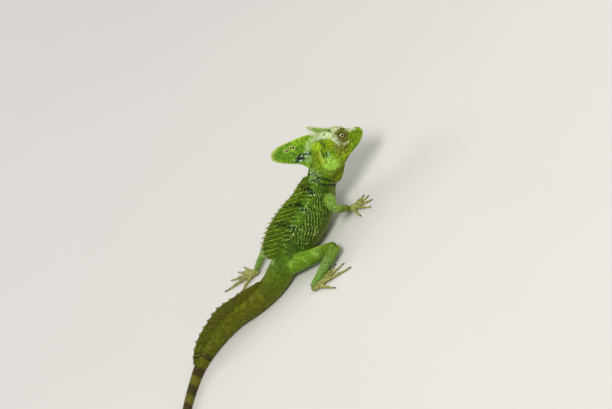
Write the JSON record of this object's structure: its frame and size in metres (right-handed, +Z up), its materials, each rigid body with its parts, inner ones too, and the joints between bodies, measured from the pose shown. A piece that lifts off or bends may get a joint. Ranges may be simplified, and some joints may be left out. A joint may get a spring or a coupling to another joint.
{
  "type": "green basilisk lizard model",
  "caption": "Life-size still model of a crested green basilisk lizard at rest, head raised, with back and tail sails and a long tapering tail lying on the floor.",
  "frame": {"origin": "on the floor plane under the vent, where the root of the tail lies on the floor", "axes": "+X towards the head, +Y towards the animal's left side, +Z up; z = 0 is the floor"},
  "size_m": [0.7174, 0.1805, 0.1088],
  "materials": {
    "head_skin": "satin",
    "body_skin": "satin",
    "tail_skin": "satin",
    "crest_skin": "satin",
    "sail_skin": "satin",
    "leg_skin": "satin",
    "paw_skin": "satin",
    "eye": "gloss"
  },
  "bodies": {
    "root": {"head": "head_skin", "neck": "body_skin", "torso": "body_skin", "dewlap": "head_skin", "tail_1": "tail_skin", "tail_2": "tail_skin", "tail_3": "tail_skin", "tail_4": "tail_skin", "tail_5": "tail_skin", "crest_main": "crest_skin", "crest_front": "crest_skin", "back_sail": "sail_skin", "tail_sail": "sail_skin", "eye_right": "eye", "eye_left": "eye", "arm_upper_right": "leg_skin", "arm_fore_right": "leg_skin", "thigh_right": "leg_skin", "shank_right": "leg_skin", "hand_right": "paw_skin", "foot_right": "paw_skin", "arm_upper_left": "leg_skin", "arm_fore_left": "leg_skin", "thigh_left": "leg_skin", "shank_left": "leg_skin", "hand_left": "paw_skin", "foot_left": "paw_skin"}
  },
  "joints": []
}
